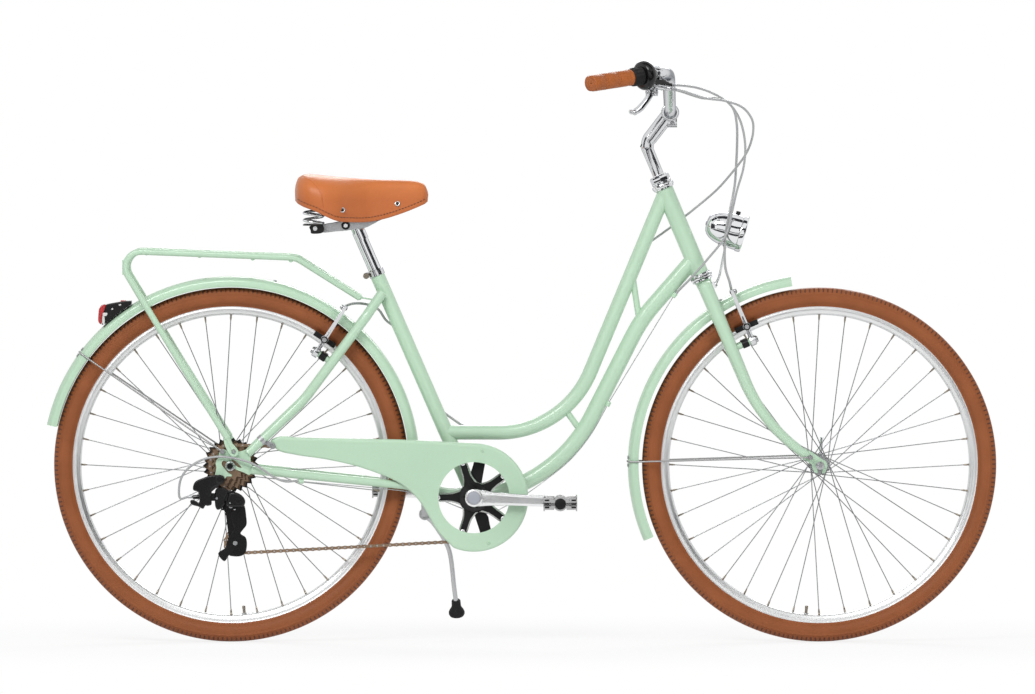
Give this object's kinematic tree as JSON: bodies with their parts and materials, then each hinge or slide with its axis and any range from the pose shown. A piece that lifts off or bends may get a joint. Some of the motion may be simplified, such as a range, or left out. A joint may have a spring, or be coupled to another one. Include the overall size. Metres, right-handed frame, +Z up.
{
  "type": "bicycle",
  "caption": "Step-through city bicycle with curved frame tubes, mudguards, rear rack, chain guard, derailleur, rim brakes, sprung saddle and swept handlebar.",
  "frame": {"origin": "on the floor, midway along the bicycle and in its centre plane", "axes": "+X towards the front wheel, +Y towards the rider's left, +Z up"},
  "size_m": [1.8758, 0.6172, 1.1481],
  "materials": {
    "mint_paint": "gloss paint",
    "polished_alloy": "polished",
    "steel": "satin",
    "chrome": "polished",
    "black_steel": "satin black",
    "bronze_steel": "satin",
    "black_plastic": "matte",
    "black_rubber": "matte",
    "brown_tyre": "matte",
    "tan_leather": "satin",
    "brown_grip": "satin",
    "grey_housing": "gloss",
    "red_lens": "gloss",
    "clear_lens": "clear"
  },
  "bodies": {
    "frame_body": {"frame": "mint_paint", "bottom_bracket": "black_steel", "seat_clamp": "chrome", "rear_mudguard": "mint_paint", "rear_rack": "mint_paint", "tail_light_housing": "black_plastic", "tail_light_lens": "red_lens", "chain_guard": "mint_paint", "kickstand_bracket": "black_steel", "rear_axle": "steel", "chain": "bronze_steel", "derailleur_mount_knuckle": "black_plastic", "shift_cable": "grey_housing", "rear_brake_cable": "grey_housing"},
    "button": {"tail_light_button": "red_lens"},
    "kick_leg": {"kickstand_leg": "steel"},
    "outer_link": {"derailleur_outer_link": "black_plastic"},
    "inner_link": {"derailleur_inner_link": "black_plastic"},
    "knuckle": {"derailleur_cage_knuckle": "black_plastic"},
    "cage": {"derailleur_cage": "black_steel"},
    "guide_wheel": {"guide_pulley": "black_plastic"},
    "tension_wheel": {"tension_pulley": "black_plastic"},
    "sprockets": {"freewheel": "bronze_steel"},
    "rear_wheel": {"rear_hub": "polished_alloy", "rear_rim": "polished_alloy", "rear_tyre": "brown_tyre"},
    "fork_body": {"fork": "mint_paint", "headset_locknut": "chrome", "front_mudguard": "mint_paint", "stem": "polished_alloy", "handlebar": "polished_alloy", "grip_right": "brown_grip", "grip_left": "brown_grip", "shifter_body": "black_plastic", "lever_bracket_left": "black_plastic", "front_axle": "steel", "front_brake_cable": "grey_housing", "headlight_shell": "chrome", "headlight_lens": "clear_lens"},
    "front_wheel": {"front_hub": "polished_alloy", "front_rim": "polished_alloy", "front_tyre": "brown_tyre"},
    "twist_grip": {"shifter_twist": "black_rubber"},
    "lever_right": {"brake_lever_right": "polished_alloy"},
    "lever_left": {"brake_lever_left": "polished_alloy"},
    "rear_arm_right": {"rear_brake_arm_right": "polished_alloy"},
    "rear_arm_left": {"rear_brake_arm_left": "polished_alloy"},
    "front_arm_right": {"front_brake_arm_right": "polished_alloy"},
    "front_arm_left": {"front_brake_arm_left": "polished_alloy"},
    "release_lever": {"front_qr_lever": "chrome"},
    "cranks": {"crank_right": "polished_alloy", "chainring": "polished_alloy", "crank_left": "polished_alloy"},
    "pedal_right_body": {"pedal_right": "polished_alloy"},
    "pedal_left_body": {"pedal_left": "polished_alloy"},
    "seat_post": {"seatpost": "chrome", "saddle_frame": "black_steel", "saddle_spring_left": "black_steel", "saddle_spring_right": "black_steel"},
    "saddle": {"saddle_cover": "tan_leather"}
  },
  "joints": [
    {"name": "steering", "type": "hinge", "parent": "frame_body", "child": "fork_body", "pos_m": [0.35296, 0, 0.72486], "axis": [-0.3875, 0, 0.9219], "range_deg": [-60, 60], "deforming": ["shift_cable", "rear_brake_cable", "front_brake_cable"]},
    {"name": "front_wheel_spin", "type": "hinge", "parent": "fork_body", "child": "front_wheel", "pos_m": [0.58787, 0, 0.35], "axis": [0, 1, 0], "continuous": true},
    {"name": "rear_wheel_spin", "type": "hinge", "parent": "frame_body", "child": "rear_wheel", "pos_m": [-0.57393, 0, 0.35], "axis": [0, 1, 0], "continuous": true},
    {"name": "crank_spin", "type": "hinge", "parent": "frame_body", "child": "cranks", "pos_m": [-0.09403, 0, 0.287], "axis": [0, 1, 0], "continuous": true, "deforming": ["chain"]},
    {"name": "freewheel_spin", "type": "hinge", "parent": "frame_body", "child": "sprockets", "pos_m": [-0.57393, 0, 0.35], "axis": [0, 1, 0], "continuous": true},
    {"name": "pedal_right_spin", "type": "hinge", "parent": "cranks", "child": "pedal_right_body", "pos_m": [0.0758, -0.1285, 0.27929], "axis": [0, 1, 0], "continuous": true},
    {"name": "pedal_left_spin", "type": "hinge", "parent": "cranks", "child": "pedal_left_body", "pos_m": [-0.26385, 0.1285, 0.29471], "axis": [0, 1, 0], "continuous": true},
    {"name": "kickstand_fold", "type": "hinge", "parent": "frame_body", "child": "kick_leg", "pos_m": [-0.19153, 0.034, 0.2505], "axis": [0, 1, 0], "range_deg": [0, 88]},
    {"name": "shift_twist", "type": "hinge", "parent": "fork_body", "child": "twist_grip", "pos_m": [0.22207, -0.23353, 1.11587], "axis": [0.7889, 0.6026, 0.1206], "range_deg": [-58, 58], "deforming": ["shift_cable"]},
    {"name": "outer_link_swing", "type": "hinge", "parent": "frame_body", "child": "outer_link", "pos_m": [-0.61893, -0.07, 0.2885], "axis": [0, 0, 1], "range_deg": [-20, 20], "deforming": ["chain", "shift_cable"]},
    {"name": "inner_link_swing", "type": "hinge", "parent": "frame_body", "child": "inner_link", "pos_m": [-0.61893, -0.058, 0.2885], "axis": [0, 0, 1], "range_deg": [-20, 20]},
    {"name": "knuckle_swing", "type": "hinge", "parent": "outer_link", "child": "knuckle", "pos_m": [-0.57493, -0.07, 0.2885], "axis": [0, 0, 1], "range_deg": [-20, 20], "deforming": ["chain"]},
    {"name": "cage_swing", "type": "hinge", "parent": "knuckle", "child": "cage", "pos_m": [-0.55893, -0.0538, 0.281], "axis": [0, 1, 0], "range_deg": [-18, 18], "stiffness_Nm_per_rad": 1.5, "deforming": ["chain"]},
    {"name": "guide_spin", "type": "hinge", "parent": "cage", "child": "guide_wheel", "pos_m": [-0.57318, -0.047, 0.27006], "axis": [0, 1, 0], "continuous": true, "deforming": ["chain"]},
    {"name": "tension_spin", "type": "hinge", "parent": "cage", "child": "tension_wheel", "pos_m": [-0.56462, -0.047, 0.19713], "axis": [0, 1, 0], "continuous": true, "deforming": ["chain"]},
    {"name": "right_lever_squeeze", "type": "hinge", "parent": "fork_body", "child": "lever_right", "pos_m": [0.2568, -0.20794, 1.08579], "axis": [-0.908, 0.4191, 0], "range_deg": [0, 22], "stiffness_Nm_per_rad": 1.5, "deforming": ["rear_brake_cable"]},
    {"name": "left_lever_squeeze", "type": "hinge", "parent": "fork_body", "child": "lever_left", "pos_m": [0.2568, 0.20794, 1.08579], "axis": [0.908, 0.4191, 0], "range_deg": [0, 22], "stiffness_Nm_per_rad": 1.5, "deforming": ["front_brake_cable"]},
    {"name": "rear_arm_right_close", "type": "hinge", "parent": "frame_body", "child": "rear_arm_right", "pos_m": [-0.4, -0.041, 0.56943], "axis": [-0.8387, 0, 0.5446], "range_deg": [0, 3], "deforming": ["rear_brake_cable"]},
    {"name": "rear_arm_left_close", "type": "hinge", "parent": "frame_body", "child": "rear_arm_left", "pos_m": [-0.4, 0.041, 0.56943], "axis": [-0.8387, 0, 0.5446], "range_deg": [-3, 0], "deforming": ["rear_brake_cable"]},
    {"name": "front_arm_right_close", "type": "hinge", "parent": "fork_body", "child": "front_arm_right", "pos_m": [0.45, -0.041, 0.5937], "axis": [0.9219, 0, 0.3875], "range_deg": [-3, 0], "deforming": ["front_brake_cable"]},
    {"name": "front_arm_left_close", "type": "hinge", "parent": "fork_body", "child": "front_arm_left", "pos_m": [0.45, 0.041, 0.5937], "axis": [0.9219, 0, 0.3875], "range_deg": [0, 3], "deforming": ["front_brake_cable"]},
    {"name": "release_lever_turn", "type": "hinge", "parent": "fork_body", "child": "release_lever", "pos_m": [0.58787, 0.0623, 0.35], "axis": [0, 1, 0], "range_deg": [-25, 100]},
    {"name": "seat_height", "type": "slide", "parent": "frame_body", "child": "seat_post", "axis": [-0.4004, 0, 0.9164], "range_m": [-0.06, 0.1]},
    {"name": "saddle_sink", "type": "hinge", "parent": "seat_post", "child": "saddle", "pos_m": [-0.22162, 0, 0.86144], "axis": [0, -1, 0], "range_deg": [0, 4], "stiffness_Nm_per_rad": 540, "deforming": ["saddle_spring_left", "saddle_spring_right"]},
    {"name": "button_press", "type": "slide", "parent": "frame_body", "child": "button", "axis": [0, 0, -1], "range_m": [0, 0.0015], "stiffness_N_per_m": 300}
  ],
  "couplings": [
    {"joint": "freewheel_spin", "follows": "crank_spin", "ratio": 2.1},
    {"joint": "guide_spin", "follows": "crank_spin", "ratio": -4.2},
    {"joint": "tension_spin", "follows": "crank_spin", "ratio": 4.2},
    {"joint": "outer_link_swing", "follows": "shift_twist", "ratio": 0.34},
    {"joint": "inner_link_swing", "follows": "shift_twist", "ratio": 0.34},
    {"joint": "knuckle_swing", "follows": "shift_twist", "ratio": -0.34},
    {"joint": "rear_arm_right_close", "follows": "right_lever_squeeze", "ratio": 0.13},
    {"joint": "rear_arm_left_close", "follows": "right_lever_squeeze", "ratio": -0.13},
    {"joint": "front_arm_right_close", "follows": "left_lever_squeeze", "ratio": -0.13},
    {"joint": "front_arm_left_close", "follows": "left_lever_squeeze", "ratio": 0.13}
  ]
}
